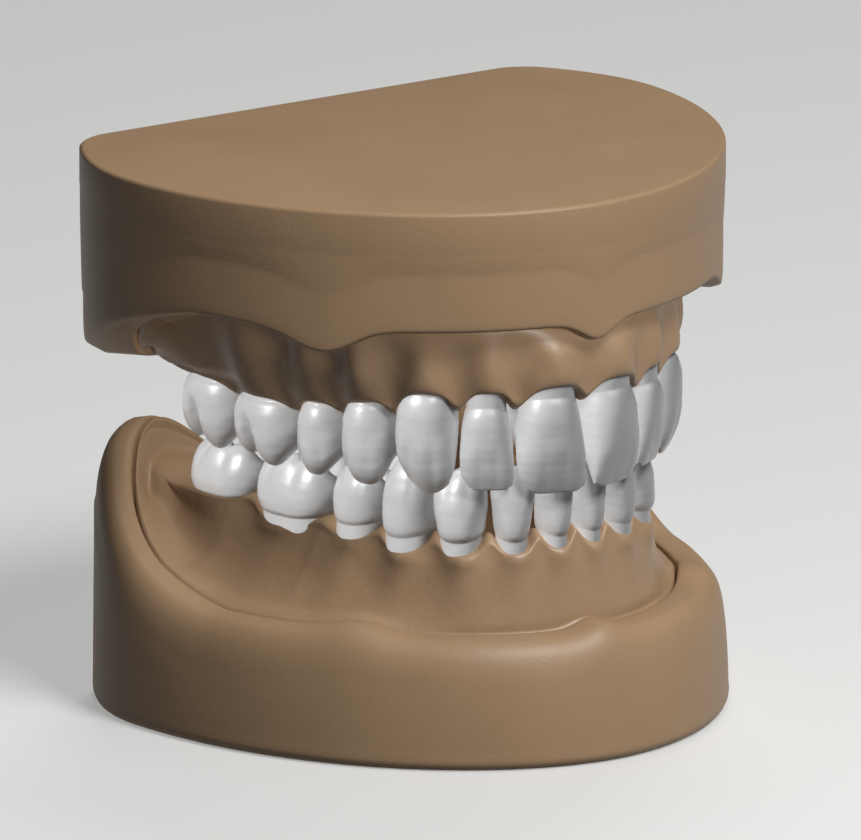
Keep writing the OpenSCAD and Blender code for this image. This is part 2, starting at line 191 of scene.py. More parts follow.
def make_jaw(name, teeth, **sizes):
    """Driving sizes of one jaw, with the base's read from the frame and the teeth set out in a row."""
    low, high = np.array(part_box(name + "_base")) / MM
    jaw = SimpleNamespace(name=name, upper=name == "upper", **sizes)
    jaw.half_w = high[0]
    jaw.front = -low[1]
    jaw.back = high[1]
    jaw.flat = -high[2] if jaw.upper else low[2]
    jaw.teeth = [dict(zip(("width", "depth", "crown", "neck", "turn", "lean"), row)) for row in teeth]
    corner = np.array([0.0, jaw.arch_y])
    for t in jaw.teeth:
        turn = math.radians(t["turn"])
        along = np.array([math.sin(turn), math.cos(turn)])
        t["along"] = along
        t["facial"] = np.array([along[1], -along[0]])
        t["seat"] = corner + along * t["width"] / 2
        corner = corner + along * t["width"]
    # two points of bare ridge behind the last molar
    jaw.pad = [corner + along, corner + PAD_LENGTH * along]
    jaw.gum_necks = [t["neck"] + cover for t, cover in zip(jaw.teeth, jaw.cover)]
    jaw.gum_halves = [ROOT_SHARE * t["depth"] / 2 + GUM_OVER_ROOT for t in jaw.teeth]
    return jaw


# Slopes of a gum between the rim and the margin: shares of the way in, and of the way up
HEEL_SLOPE = (0.30, 0.66, 0.92)
HEEL_CLIMB = (0.1, 0.42, 0.74)

# Teeth are rows of width, depth, crown height, neck z, direction of the arch and lean of the crown.
# fold is the share of the root that the slope ends at, in front and behind, and the zone between.
UPPER = make_jaw(
    "upper",
    teeth=(
        (8.0, 7.0, 12.0, -42.5, 72, 0.02),
        (6.2, 6.2, 10.9, -42.0, 58, 0.02),
        (7.0, 7.8, 11.3, -41.9, 37, 0.0),
        (6.5, 8.4, 9.5, -40.2, 16, 0.0),
        (6.8, 8.6, 8.5, -38.9, 6, 0.0),
        (10.3, 10.6, 7.7, -38.0, 3, 0.0),
        (9.8, 10.4, 8.0, -38.2, 0.5, 0.0)),
    arch_y=-37.6, leans=(0.34, 0.14), recess=-56.7, vault=-53.0,
    rim_w=4.4, rim_level=-49.6, heel=10.75, heel_power=1.35, heel_share=1.0, back_level=0,
    notch_depth=2, cheek_x=27.7, cheek_share=1.3,
    edge_r=0.5, band_h=4.7, lip=0.2, wall_insets=(0.06, 0.065, 0.075, 0.1, 0.4),
    wall_drops=(7, 4, 1.6, 0.5, 0.0), heel_round=0.4, seed=3,
    swell=1.5, hollow=(4.9, 1.0), papillae=(1.2, 1.2, 1.2, 1.2, 0.65, 0.65, 0.65),
    cover=(0, 0, 0, 0, 0, 0, 0), molar_margin=0.0, pad_rise=-2.0, valley=0.0,
    fold=(0.92, 1.15, (50, 15)), slope=(0.55, 0.93, 1.03), climb=(0.03, 0.3, 0.62))
LOWER = make_jaw(
    "lower",
    teeth=(
        (4.4, 5.6, 9.4, 23.6, 86, 0.0),
        (5.3, 5.8, 9.4, 23.4, 66, 0.0),
        (6.2, 7.0, 9.4, 23.2, 40, -0.05),
        (6.5, 7.2, 10.2, 23.0, 19, -0.1),
        (7.1, 7.6, 8.4, 23.4, 12, -0.12),
        (11.2, 9.4, 8.0, 23.0, 10.5, -0.12),
        (10.6, 9.2, 7.1, 23.5, 8.5, -0.1)),
    arch_y=-35.0, leans=(0.06, 0.06), recess=9.0, vault=12.5,
    rim_w=6.0, rim_level=14.6, heel=17.0, heel_power=1.75, heel_share=0.6, back_level=5,
    notch_depth=1, cheek_x=26.0, cheek_share=1,
    edge_r=1.2, band_h=0, lip=0.5, wall_insets=(0.06, 0.13, 0.27, 0.5, 0.78),
    wall_drops=(7, 4, 1.6, 0.25, 0.0), heel_round=0.0, seed=4,
    swell=0.7, hollow=(5.2, 1.1), papillae=(0.95, 0.95, 0.95, 0.95, 0.65, 0.65, 0.65),
    cover=(0, 0, 0, 0, 0.1, 0.5, 1.4), molar_margin=0.7, pad_rise=3.6, valley=3.0,
    fold=(0.94, 1.2, (96, 10)), slope=HEEL_SLOPE, climb=HEEL_CLIMB)


def outline(jaw, d, back_d):
    """The base outline drawn in by d all round and back_d at the back, as points in x and y."""
    w, f, b = jaw.half_w - d, jaw.front - d, jaw.back - back_d
    r = max(CORNER_R - CORNER_SHRINK * d, INNER_CORNER_R)
    a = np.radians(np.linspace(0, 90, FRONT_POINTS, endpoint=False))
    front = np.stack([w * np.sin(a) ** (2 / FRONT_POWER), -f * np.cos(a) ** (2 / FRONT_POWER)], 1)
    y = (b - r) * np.linspace(0, 1, SIDE_POINTS, endpoint=False)
    side = np.stack([w - SIDE_TAPER * (y / b) ** 2, y], 1)
    a = np.radians(np.linspace(0, 90, CORNER_POINTS))
    y = b - r + r * np.sin(a)
    corner = np.stack([w - SIDE_TAPER * (y / b) ** 2 - r * (1 - np.cos(a)), y], 1)
    x = (w - SIDE_TAPER - r) * (1 - np.arange(1, SIDE_POINTS + 1) / SIDE_POINTS)
    rear = np.stack([x, np.full_like(x, b)], 1)
    half = np.concatenate([front, side, corner, rear])
    return np.concatenate([half, half[-2:0:-1] * [-1, 1]])


def lane(jaw, d, back_d):
    """The outline drawn in by d, or by less where the rim is slimmer round the heels."""
    wide = outline(jaw, d, back_d)
    slim = outline(jaw, d * jaw.heel_share, back_d * jaw.heel_share)
    heel = ramp(wide[:, 1], *HEEL_ZONE_Y) * ramp(np.abs(wide[:, 0]), *HEEL_ZONE_X)
    return mix(wide, slim, heel[:, None])


def rim_z(jaw, p):
    """Height of the rim over the outline points p."""
    x, y = p[:, 0], p[:, 1]
    cheek = bell(np.abs(x), jaw.cheek_x, NOTCH_W) * jaw.cheek_share
    notches = np.where(y < NOTCH_END_Y, bell(x, 0, NOTCH_W) + cheek, 0)
    climb = (np.maximum(y - CLIMB_Y, 0) / CLIMB_RUN) ** jaw.heel_power
    z = jaw.rim_level + jaw.notch_depth * notches + jaw.heel * climb
    back = ramp(y - jaw.back, *LEVEL_ZONE_Y) * (1 - ramp(np.abs(x), *LEVEL_ZONE_X))
    return mix(z, jaw.rim_level + jaw.back_level, back)


def spine(p):
    """The foot on the middle line of the spoke that passes through each point p."""
    return np.stack([np.zeros(len(p)), np.clip(p[:, 1], SPINE_FRONT, SPINE_BACK)], 1)


def station(p):
    """Place along the arch: degrees round the front, then millimetres down the side, then the rear."""
    x, y = np.abs(p[:, 0]), p[:, 1]
    front = np.degrees(np.arctan2(x, SPINE_FRONT - y))
    side = 90 + y - SPINE_FRONT
    rear = 90 + SPINE_BACK - SPINE_FRONT + REAR_PER_DEGREE * np.degrees(np.arctan2(y - SPINE_BACK, x))
    return np.where(y < SPINE_FRONT, front, np.where(y < SPINE_BACK, side, rear))


def make_base(jaw):
    """The base as rings: its flat end, the wall, the rounded rim, and the seam down to the gum."""
    edge = outline(jaw, 0, 0)
    rim = rim_z(jaw, edge)
    w = jaw.rim_w
    rings = []

    def add(d, back_d, z):
        rings.append(np.column_stack([lane(jaw, d, back_d), np.broadcast_to(z, len(edge))]))

    def back_inset(d):
        return mix(d, BACK_LIP, max(d / w - BACK_LEAN_START, 0) / (1 - BACK_LEAN_START))

    for a in np.radians(np.linspace(0, 90, 6)):
        d = jaw.edge_r * (1 - math.sin(a))
        add(d, d, jaw.flat + jaw.edge_r * (1 - math.cos(a)))
    if jaw.band_h:
        add(0.0, 0.0, jaw.flat + jaw.band_h - BAND_BEVEL)
        add(BAND_STEP, 0.0, jaw.flat + jaw.band_h)
    foot = rings[-1][:, 2]
    for t in np.linspace(0.1, 1, 10):
        add(mix(BAND_STEP, jaw.wall_insets[0] * w, t * t), 0.0, mix(foot, rim - jaw.wall_drops[0], t))
    heel = jaw.heel_round * ramp(edge[:, 1], *HEEL_DROP_ZONE)
    for t in np.linspace(0.06, 1, 16):
        d = w * smooth_curve(t, WALL_KNOTS, jaw.wall_insets)
        steep = smooth_curve(t, WALL_KNOTS, jaw.wall_drops)
        drop = mix(steep, smooth_curve(t, WALL_KNOTS, HEEL_DROPS), heel)
        add(d, back_inset(d), rim - drop)
    for a in np.radians(np.linspace(0, 90, 5)):
        d = w - jaw.lip * (1 - math.sin(a))
        add(d, back_inset(d), rim - LIP_DROP - jaw.lip * (1 - math.cos(a)))
    seam = rings[-1]
    for t in (0.3, 1):
        rings.append(np.column_stack([seam[:, :2], mix(seam[:, 2], jaw.recess, t)]))
    rings = np.array(rings)
    swell = waves(rings, WALL_WAVE_SIZE, jaw.seed)
    outward = rings[:, :, :2] / (np.linalg.norm(rings[:, :, :2], axis=2, keepdims=True) + TINY)
    wall = bell(np.arange(len(rings)), *WALL_WAVE_ROWS)[:, None] * (edge[:, 1] < jaw.back - BACK_FACE)
    rings[:, :, :2] -= outward * (WALL_WAVE * (1 + swell) * wall)[:, :, None]
    return ring_mesh(jaw.name + "_base_shell", rings, jaw.upper)


# ---------------------------------------------------------------- gums

# Each tooth's root swelling, and how wide the swelling, the scallop round the neck, the papilla and
# the pinch between teeth are, as shares of the tooth's width
ROOT_SWELLS = (0.85, 0.85, 0.85, 1.15, 1.15, 1.15, 0.3)
SWELL_W = 0.31
NECK_W = 0.40
NECK_POWER = 4
PAPILLA_W = 0.5
PINCH = 0.3
PINCH_W = 0.25

# Height of the ridge on the tongue side and on the cheek side, as shares, at SLOPE_OUT millimetres out
# from the root. The ridge is sampled at LINE_STEP, and JOIN is how sharply it meets the rise to the rim.
SLOPE_OUT = (-1, 0.3, 2.4, 5, 9)
TONGUE_SLOPE = (1, 0.95, 0.42, 0.1, 0)
CHEEK_SLOPE = (1, 0.97, 0.78, 0.72, 0.7)
LINE_STEP = 0.15
LINE_PULL = 1.5
JOIN = 1.5
WALL_FOOT = 4.5
PAD_TAPER = 0.8

# Main rows of the gum. SEAM is (in from the rim's edge, down from the rim). CREST and INNER_CREST are
# (out from the outer or inner margin, height over the neck, share of the papilla), and RIDGE_TOP is
# the last two. TONGUE_SIDE is (in from the inner margin, share of the way down to the vault). The
# LEAST values keep a row off the middle line, and VALLEY_SHARES are for the rows between rim and crest.
CREST = ((0.2, -0.75, 1.0), (-0.05, -0.15, 1.6), (-0.9, 0.15, 1.9))
RIDGE_TOP = (0.3, 2.0)
INNER_CREST = ((0.9, 0.15, 1.8), (-0.1, -0.15, 1.0), (-0.5, -0.8, 0.0))
INNER_CREST_LEAST = (2.2, 1.8, 1.6)
TONGUE_SIDE = ((2.4, 0.6), (5, 0.92), (9, 1.0))
TONGUE_SIDE_LEAST = (1.2, 0.9, 0.5)
VALLEY_SHARES = (0.5, 1.0, 0.7)
SEAM_ROWS = 3
SEAM = ((0.02, 0.45), (0.3, 0))

# Places across the gum are row numbers, from 0 at the foot of the seam to 15 at the middle. Pairs are
# (row, width) for bell, apart from the two FIELD pairs: over those rows floor_z takes over.
GUM_ROWS = ((0, 1, 1.3, 1.6), np.arange(2, 12, 0.2), np.arange(12, 15.01, 0.25))
CHEEK_HOLLOW_SHIFT = 0.5
CHEEK_HOLLOW_W = 1.4
HOLLOW_DEPTH = 0.45
TONGUE_HOLLOW = (12.6, 0.8)
TONGUE_HOLLOW_DEPTH = 0.3
TONGUE_SWELL = 0.4
BULGE = 0.1
BULGE_ROWS = (5.4, 0.8)
LAST_CHEEK_ROW = 9.5
CHEEK_ROWS = 2
INNER_FIELD_ROWS = (11, 1.3)
REAR_FIELD_ROWS = (2, 0.5)

# Zones as (start, length) for ramp: the first three by station, REAR_ZONE by degrees round from the
# back end of the middle line, and the others by x or y
CHEEK_ZONE = (50, 15)
HEEL_ZONE = (93, 12)
MOLAR_ZONE = (96, 10)
KEEP_ZONE_X = (7, 17)
VALLEY_ZONE_Y = (-8, 12)
REAR_ZONE = (16, 9)
RIM_SOFTEN = 21

# Uneven surface of the gum, which is smooth along the seam and in the middle, and softer at the crest
LUMP_SIZE = 3.2
LUMP_DEPTH = 0.08
STREAK_SIZE = 1.3
STREAK_STRETCH = (1.6, 1.6, 0.5)
STREAK_DEPTH = 0.04
STREAK_ROWS = (6.1, 0.8)
STREAK_SEED = 11
UNEVEN_ROWS = (2.2, 1.5)
LAST_UNEVEN_ROW = 13.6
CREST_ROWS = (7.5, 0.8)


def arch_fields(jaw, p):
    """Along the outline points p: ridge radius, neck height, half depth, pinch, root swell and papilla."""
    s = station(p)
    seats = np.array([t["seat"] for t in jaw.teeth] + jaw.pad)
    s_seats = station(seats)
    s_teeth = s_seats[:-2]
    reach = np.linalg.norm(seats - spine(seats), axis=1)
    radius = smooth_curve(s, s_seats, reach)
    last = jaw.gum_necks[-1]
    neck = smooth_curve(s, s_seats, jaw.gum_necks + [last, last + jaw.pad_rise])
    root = smooth_curve(s, s_teeth, jaw.gum_halves)
    c = spine(p)
    u = (p - c) / np.linalg.norm(p - c, axis=1, keepdims=True)
    side = slice(0, len(p) // 2 + 1)
    ridge = (c + u * radius[:, None])[side]
    order = np.argsort(s[side])
    length = np.concatenate([[0], np.cumsum(np.linalg.norm(np.diff(ridge, axis=0), axis=1))])
    run = np.interp(s, s[side][order], length[order])
    swell = np.zeros(len(p))
    apart = np.ones(len(p))
    rise = np.zeros(len(p))
    contact = np.zeros(len(p))
    for t, place, root_swell, papilla in zip(jaw.teeth, s_teeth, ROOT_SWELLS, jaw.papillae):
        w = t["width"]
        centre = np.interp(place, s[side][order], length[order])
        swell += bell(run, centre, SWELL_W * w) * root_swell
        apart *= 1 - np.exp(-(np.abs(run - centre) / (NECK_W * w)) ** NECK_POWER)
        contact += bell(run, centre - w / 2, PINCH_W * w)
        rise += bell(run, centre - w / 2, PAPILLA_W * w) * papilla
    return radius, neck, root, 1 - PINCH * np.minimum(contact, 1), swell, apart * rise


def ridge_line(jaw):
    """The crest of one side's ridge as a fine line of x and y, with its height and half width."""
    necks, halves = jaw.gum_necks, jaw.gum_halves
    seats = np.array([(0, jaw.arch_y)] + [t["seat"] for t in jaw.teeth] + jaw.pad)
    necks = necks[:1] + necks + [necks[-1], necks[-1] + jaw.pad_rise]
    halves = halves[:1] + halves + [halves[-1], PAD_TAPER * halves[-1]]
    length = np.concatenate([[0], np.cumsum(np.linalg.norm(np.diff(seats, axis=0), axis=1))])
    fine = np.arange(0, length[-1], LINE_STEP)
    return [smooth_curve(fine, length, values) for values in (seats[:, 0], seats[:, 1], necks, halves)]


def floor_z(jaw, line, flat, rim, gap, outside):
    """Height of the gum away from the teeth: the slopes of the ridge, and the rise to the rim.

    gap is the distance in from the rim, and outside is 1 on the cheek side of the ridge.
    """
    x, y, neck, half = line
    far = np.hypot(np.abs(flat[:, :1]) - x, flat[:, 1:] - y)
    nearest = far.min(axis=1)
    weight = np.exp(-LINE_PULL * (far - nearest[:, None]))
    total = weight.sum(axis=1)
    # a straight line would pull with this much weight, so only bends in the line change the distance
    straight = np.sqrt(2 * math.pi * np.maximum(nearest, 1) / LINE_PULL) / LINE_STEP
    off = nearest - np.log(total / straight) / LINE_PULL - (weight @ half) / total
    tongue = smooth_curve(off, SLOPE_OUT, TONGUE_SLOPE)
    cheek = smooth_curve(off, SLOPE_OUT, CHEEK_SLOPE)
    slope = mix(tongue, cheek, outside)
    ridge = ((weight @ neck) / total - jaw.vault) * slope
    wall = (rim - jaw.vault) * (1 - ease(gap / WALL_FOOT))
    return jaw.vault + np.logaddexp(JOIN * ridge, JOIN * wall) / JOIN


def soften(values, span):
    """Values round a closed outline, averaged over span points each way."""
    kernel = np.hanning(2 * span + 1)
    around = np.concatenate([values[-span:], values, values[:span]])
    return np.convolve(around, kernel / kernel.sum(), "valid")


def between(rows, v):
    """A smooth curve through rows of values, read at row v, and straight along the seam's rows."""
    k = min(int(v), len(rows) - 2)
    t = v - k
    if k < SEAM_ROWS:
        return mix(rows[k], rows[k + 1], t)
    before, after = rows[k - 1], rows[min(k + 2, len(rows) - 1)]
    return ((-0.5 * t + t * t - 0.5 * t**3) * before + (1 - 2.5 * t * t + 1.5 * t**3) * rows[k]
            + (0.5 * t + 2 * t * t - 1.5 * t**3) * rows[k + 1] + (-0.5 * t * t + 0.5 * t**3) * after)


def gum_spokes(jaw, d, back_d):
    """The spokes that a gum is drawn on, and what holds along each."""
    p = lane(jaw, d, back_d)
    c = spine(p)
    reach = np.linalg.norm(p - c, axis=1)
    radius, neck, root, pinch, swell, papilla = arch_fields(jaw, p)
    rear = p[:, 1] > SPINE_BACK
    # behind the teeth the ridge keeps inside the rim, by a smooth minimum
    radius = np.where(rear, -np.logaddexp(-radius, 1 + root - reach), radius)
    keep = np.where(rear, ramp(np.abs(p[:, 0]), *KEEP_ZONE_X), 1)
    rim = rim_z(jaw, outline(jaw, 0, 0)) - GUM_RIM_DROP
    behind = np.degrees(np.arctan2(p[:, 1] - SPINE_BACK, np.abs(p[:, 0])))
    return SimpleNamespace(
        place=station(p), middle=c, out=(p - c) / reach[:, None], reach=reach, radius=radius, root=root,
        half=root * pinch, neck=mix(jaw.vault, neck, keep), keep=keep, swell=swell, papilla=papilla * keep,
        rim=rim, soft_rim=soften(rim, RIM_SOFTEN), valley=jaw.valley * ramp(p[:, 1], *VALLEY_ZONE_Y) * keep,
        open_back=ramp(behind, *REAR_ZONE))


def gum_rows(jaw, g):
    """Radius and height of the gum at its main rows, from the seam's foot to the middle of the jaw."""
    front, back, zone = jaw.fold
    fold = g.radius + mix(front, back, ramp(g.place, *zone)) * g.root
    margin = g.radius + g.half + jaw.molar_margin * ramp(g.place, *MOLAR_ZONE)
    inner = g.radius - g.half
    heel = ramp(g.place, *HEEL_ZONE) * g.keep
    tall = g.neck - g.soft_rim
    rows = [(g.reach, np.full_like(g.rim, jaw.recess))]
    for inwards, down in SEAM:
        rows.append((g.reach - inwards, g.rim - down))
    for k, valley in enumerate(VALLEY_SHARES):
        slope = mix(jaw.slope[k], HEEL_SLOPE[k], heel)
        climb = mix(jaw.climb[k], HEEL_CLIMB[k], heel)
        rows.append((mix(g.reach, fold, slope), g.soft_rim + climb * tall - valley * g.valley))
    for out, up, papilla in CREST:
        rows.append((margin + out, g.neck + up * g.keep + papilla * g.papilla))
    up, papilla = RIDGE_TOP
    rows.append((g.radius, g.neck + up * g.keep + papilla * g.papilla))
    for (out, up, papilla), least in zip(INNER_CREST, INNER_CREST_LEAST):
        rows.append((np.maximum(inner + out, least), g.neck + up * g.keep + papilla * g.papilla))
    for (inwards, down), least in zip(TONGUE_SIDE, TONGUE_SIDE_LEAST):
        rows.append((np.maximum(inner - inwards, least), mix(g.neck, jaw.vault, down)))
    return np.array(rows).transpose(1, 0, 2)


def make_gum(jaw):
    """The gum as rings across the spokes, from the foot of the seam over the crest to the middle."""
    g = gum_spokes(jaw, jaw.rim_w + GUM_GAP, BACK_LIP + GUM_GAP)
    rows_r, rows_z = gum_rows(jaw, g)
    line = ridge_line(jaw)
    cheek = ramp(g.place, *CHEEK_ZONE)
    steps = np.concatenate(GUM_ROWS)
    rings = []
    for v in steps:
        hollow, width = jaw.hollow
        face = mix(bell(v, hollow, width), bell(v, hollow - CHEEK_HOLLOW_SHIFT, CHEEK_HOLLOW_W), cheek)
        r = between(rows_r, v) + face * (g.swell - HOLLOW_DEPTH) * g.keep * jaw.swell
        r = r - bell(v, *TONGUE_HOLLOW) * (g.swell - TONGUE_HOLLOW_DEPTH) * g.keep * TONGUE_SWELL
        r = r + BULGE * bell(v, *BULGE_ROWS) * g.keep
        flat = g.middle + g.out * r[:, None]
        rim = mix(g.rim, g.soft_rim, ease(v - 2))
        outside = ease((LAST_CHEEK_ROW - v) / CHEEK_ROWS) * g.keep
        away = np.maximum(g.open_back * ramp(v, *REAR_FIELD_ROWS), ramp(v, *INNER_FIELD_ROWS))
        z = mix(between(rows_z, v), floor_z(jaw, line, flat, rim, g.reach - r, outside), away)
        rings.append(np.column_stack([flat, z]))
    rings = np.array(rings)
    lumps = waves(rings, LUMP_SIZE, jaw.seed + 4)
    streaks = waves(rings * STREAK_STRETCH, STREAK_SIZE, STREAK_SEED) * bell(steps, *STREAK_ROWS)[:, None]
    soft = ramp(steps, *UNEVEN_ROWS) * ease((LAST_UNEVEN_ROW - steps) / 2)
    soft = soft * (1 - 0.5 * bell(steps, *CREST_ROWS))
    uneven = (LUMP_DEPTH * lumps + STREAK_DEPTH * streaks) * soft[:, None] * (1 - g.open_back)
    rings[:, :, :2] += g.out[None] * uneven[:, :, None]
    return ring_mesh(jaw.name + "_gum", rings, jaw.upper)


# ---------------------------------------------------------------- teeth

# Knots up the crown: height, mesial and distal half width, facial and lingual half depth, squareness
CROWNS = {
    "upper_incisor": ((0.0, 0.76, 0.75, 0.80, 0.80, 2.2), (0.08, 0.80, 0.80, 0.90, 0.88, 2.3),
                      (0.25, 0.88, 0.88, 0.98, 0.88, 2.4), (0.5, 0.96, 0.96, 0.94, 0.62, 2.5),
                      (0.75, 1.00, 1.00, 0.80, 0.22, 2.9), (0.92, 1.00, 0.98, 0.64, -0.06, 2.9),
                      (1.0, 0.97, 0.90, 0.54, -0.18, 2.9)),
    "lower_incisor": ((0.0, 0.72, 0.72, 0.86, 0.84, 2.2), (0.08, 0.74, 0.75, 0.93, 0.90, 2.2),
                      (0.25, 0.79, 0.81, 0.98, 0.88, 2.3), (0.5, 0.89, 0.91, 0.94, 0.62, 2.4),
                      (0.75, 0.99, 1.00, 0.80, 0.22, 2.7), (0.92, 1.00, 0.99, 0.64, -0.06, 2.8),
                      (1.0, 0.96, 0.93, 0.54, -0.18, 2.8)),
    "upper_canine": ((0.0, 0.78, 0.78, 0.80, 0.80, 2.1), (0.08, 0.85, 0.86, 0.92, 0.88, 2.2),
                     (0.25, 0.95, 0.98, 1.02, 0.92, 2.2), (0.5, 1.00, 1.02, 1.02, 0.74, 2.2),
                     (0.72, 1.00, 0.96, 0.92, 0.40, 2.3), (0.9, 0.94, 0.80, 0.72, 0.08, 2.4),
                     (1.0, 0.84, 0.66, 0.54, -0.10, 2.4)),
    "lower_canine": ((0.0, 0.81, 0.81, 0.86, 0.84, 2.1), (0.08, 0.84, 0.85, 0.95, 0.90, 2.2),
                     (0.25, 0.88, 0.91, 1.00, 0.92, 2.2), (0.5, 0.96, 0.99, 1.00, 0.74, 2.2),
                     (0.72, 1.00, 0.99, 0.90, 0.40, 2.3), (0.9, 0.96, 0.88, 0.72, 0.08, 2.4),
                     (1.0, 0.86, 0.72, 0.54, -0.10, 2.4)),
    "upper_premolar": ((0.0, 0.74, 0.74, 0.78, 0.82, 2.1), (0.08, 0.82, 0.83, 0.90, 0.90, 2.2),
                       (0.3, 0.95, 0.97, 1.00, 0.98, 2.3), (0.55, 1.00, 1.00, 1.00, 1.00, 2.4),
                       (0.78, 1.00, 0.99, 0.93, 0.92, 2.4), (0.92, 0.95, 0.93, 0.80, 0.80, 2.3),
                       (1.0, 0.87, 0.85, 0.66, 0.68, 2.2)),
    "lower_premolar": ((0.0, 0.87, 0.87, 0.88, 0.86, 2.2), (0.08, 0.90, 0.90, 0.95, 0.93, 2.3),
                       (0.3, 0.95, 0.96, 1.00, 0.98, 2.4), (0.55, 1.00, 1.00, 0.98, 1.00, 2.5),
                       (0.78, 0.99, 0.98, 0.88, 0.92, 2.5), (0.92, 0.93, 0.92, 0.76, 0.80, 2.4),
                       (1.0, 0.84, 0.82, 0.64, 0.68, 2.3)),
    "upper_molar": ((0.0, 0.84, 0.84, 0.83, 0.84, 2.6), (0.08, 0.89, 0.90, 0.93, 0.92, 2.7),
                    (0.3, 0.97, 0.98, 1.00, 1.00, 2.8), (0.55, 1.00, 1.00, 0.99, 1.00, 2.8),
                    (0.78, 0.98, 0.97, 0.91, 0.94, 2.7), (0.92, 0.93, 0.91, 0.80, 0.84, 2.5),
                    (1.0, 0.85, 0.83, 0.68, 0.74, 2.4)),
    "lower_molar": ((0.0, 0.86, 0.86, 0.88, 0.88, 2.8), (0.08, 0.91, 0.91, 0.96, 0.94, 2.9),
                    (0.3, 0.97, 0.98, 1.00, 1.00, 3.0), (0.55, 1.00, 1.00, 0.97, 1.00, 3.0),
                    (0.78, 0.99, 0.98, 0.88, 0.94, 2.8), (0.92, 0.94, 0.93, 0.78, 0.84, 2.6),
                    (1.0, 0.87, 0.86, 0.68, 0.74, 2.4)),
}

# Cusps as (mesial, facial, height, width along, width across) over a table of the given height, and
# grooves as (mesial, facial, direction in degrees, depth, width), all as shares of the crown
CUSPS = {
    "upper_first_premolar": (0.62, ((0.12, 0.52, 0.38, 1.08, 0.44), (0.10, -0.50, 0.14, 0.60, 0.42)),
                             ((0, 0.0, 0, 0.10, 0.14),)),
    "upper_second_premolar": (0.62, ((-0.15, 0.52, 0.38, 0.98, 0.44), (0.10, -0.50, 0.14, 0.60, 0.42)),
                              ((0, 0.0, 0, 0.10, 0.14),)),
    "lower_premolar": (0.64, ((0.05, 0.46, 0.36, 0.86, 0.46), (0.10, -0.55, 0.16, 0.50, 0.40)),
                       ((0, -0.15, 0, 0.10, 0.14),)),
    "upper_molar": (0.66, ((0.36, 0.55, 0.34, 0.44, 0.40), (-0.54, 0.52, 0.27, 0.38, 0.38),
                           (0.30, -0.48, 0.12, 0.40, 0.36), (-0.50, -0.52, 0.06, 0.32, 0.32)),
                    ((0, 0.04, 0, 0.10, 0.14), (-0.12, 0.5, 90, 0.10, 0.10),
                     (-0.16, -0.5, 100, 0.08, 0.10))),
    "lower_molar": (0.70, ((0.48, 0.50, 0.28, 0.38, 0.36), (-0.12, 0.52, 0.28, 0.34, 0.34),
                           (-0.66, 0.36, 0.22, 0.30, 0.30), (0.40, -0.50, 0.24, 0.36, 0.34),
                           (-0.40, -0.50, 0.21, 0.36, 0.34)),
                    ((0, 0, 0, 0.12, 0.14), (0.18, 0.5, 90, 0.08, 0.08), (-0.42, 0.5, 80, 0.06, 0.07),
                     (0.0, -0.5, 90, 0.08, 0.10))),
}

# Grooves down the face of the crown: (mesial place, depth, width), as shares of the half width
FACE_GROOVES = {
    "upper_molar": ((-0.12, 0.12, 0.15),),
    "lower_molar": ((0.20, 0.035, 0.16), (-0.44, 0.025, 0.14)),
    "upper_incisor": ((0.30, 0.012, 0.18), (-0.30, 0.012, 0.18)),
    "lower_incisor": ((0.30, 0.01, 0.16), (-0.30, 0.01, 0.16)),
    "upper_canine": ((0.42, 0.04, 0.2), (-0.42, 0.045, 0.2)),
    "lower_canine": ((0.42, 0.03, 0.2), (-0.42, 0.035, 0.2)),
    "upper_premolar": ((0.5, 0.035, 0.18), (-0.5, 0.045, 0.18)),
    "lower_premolar": ((0.5, 0.03, 0.18), (-0.5, 0.035, 0.18)),
}

# Bare root between gum and crown, in millimetres, and how far the crown stands out over it on its face.
# At its sides it stands out by STEP_SIDE of that.
STUB = {"upper": (1.1, 1.5, 0.02, 0.02, 0.02, 0.02, 0.02),
        "lower": (1.1, 1.1, 1.2, 1.3, 1.3, 1.2, 1.0)}
STEP = {"upper": (0.06, 0.08, 0.02, 0.02, 0.02, 0.02, 0.02),
        "lower": (0.2, 0.2, 0.22, 0.15, 0.12, 0.07, 0.07)}
STEP_SIDE = 0.4
ROUND_POINTS = 96
TOOTH_GAP = 0.14
ROOT_BELOW = 2.5
NECK_SCALLOP = 0.35
NECK_ROUNDING = 0.11
NECK_ROUNDING_POWER = 0.7
GROOVE_SCALE = 1.6
GROOVE_ZONE = (0.25, 0.5)
CUSP_POWERS = (2.6, 2.2)
EDGE_ROUND = 0.28
EDGE_SHRINK = 0.05
EDGE_W = 0.9
EDGE_ANGLES = (25, 45, 65, 82)
# Shares of the crown's outline: up the neck, up the crown, and inwards over the biting surface
NECK_SHARES = (0.35, 0.7, 0.94)
CROWN_SHARES = np.concatenate([[0.0, 0.012, 0.03, 0.05, 0.075], np.linspace(0.1, 1, 34)])
TOP_SHARES = (0.97, 0.93, 0.88, 0.82, 0.75, 0.67, 0.58, 0.48, 0.38, 0.28, 0.18, 0.08)

# Uneven surface of the crowns
BAND_RATE = 5.5
BAND_SHIFT = 2.0
BAND_SIZE = 5.0
BAND_DEPTH = 0.007
DENT_SIZE = 2.2
DENT_DEPTH = 0.06
DENT_START = 2.0


def family(i):
    return KINDS[i].split("_")[-1]


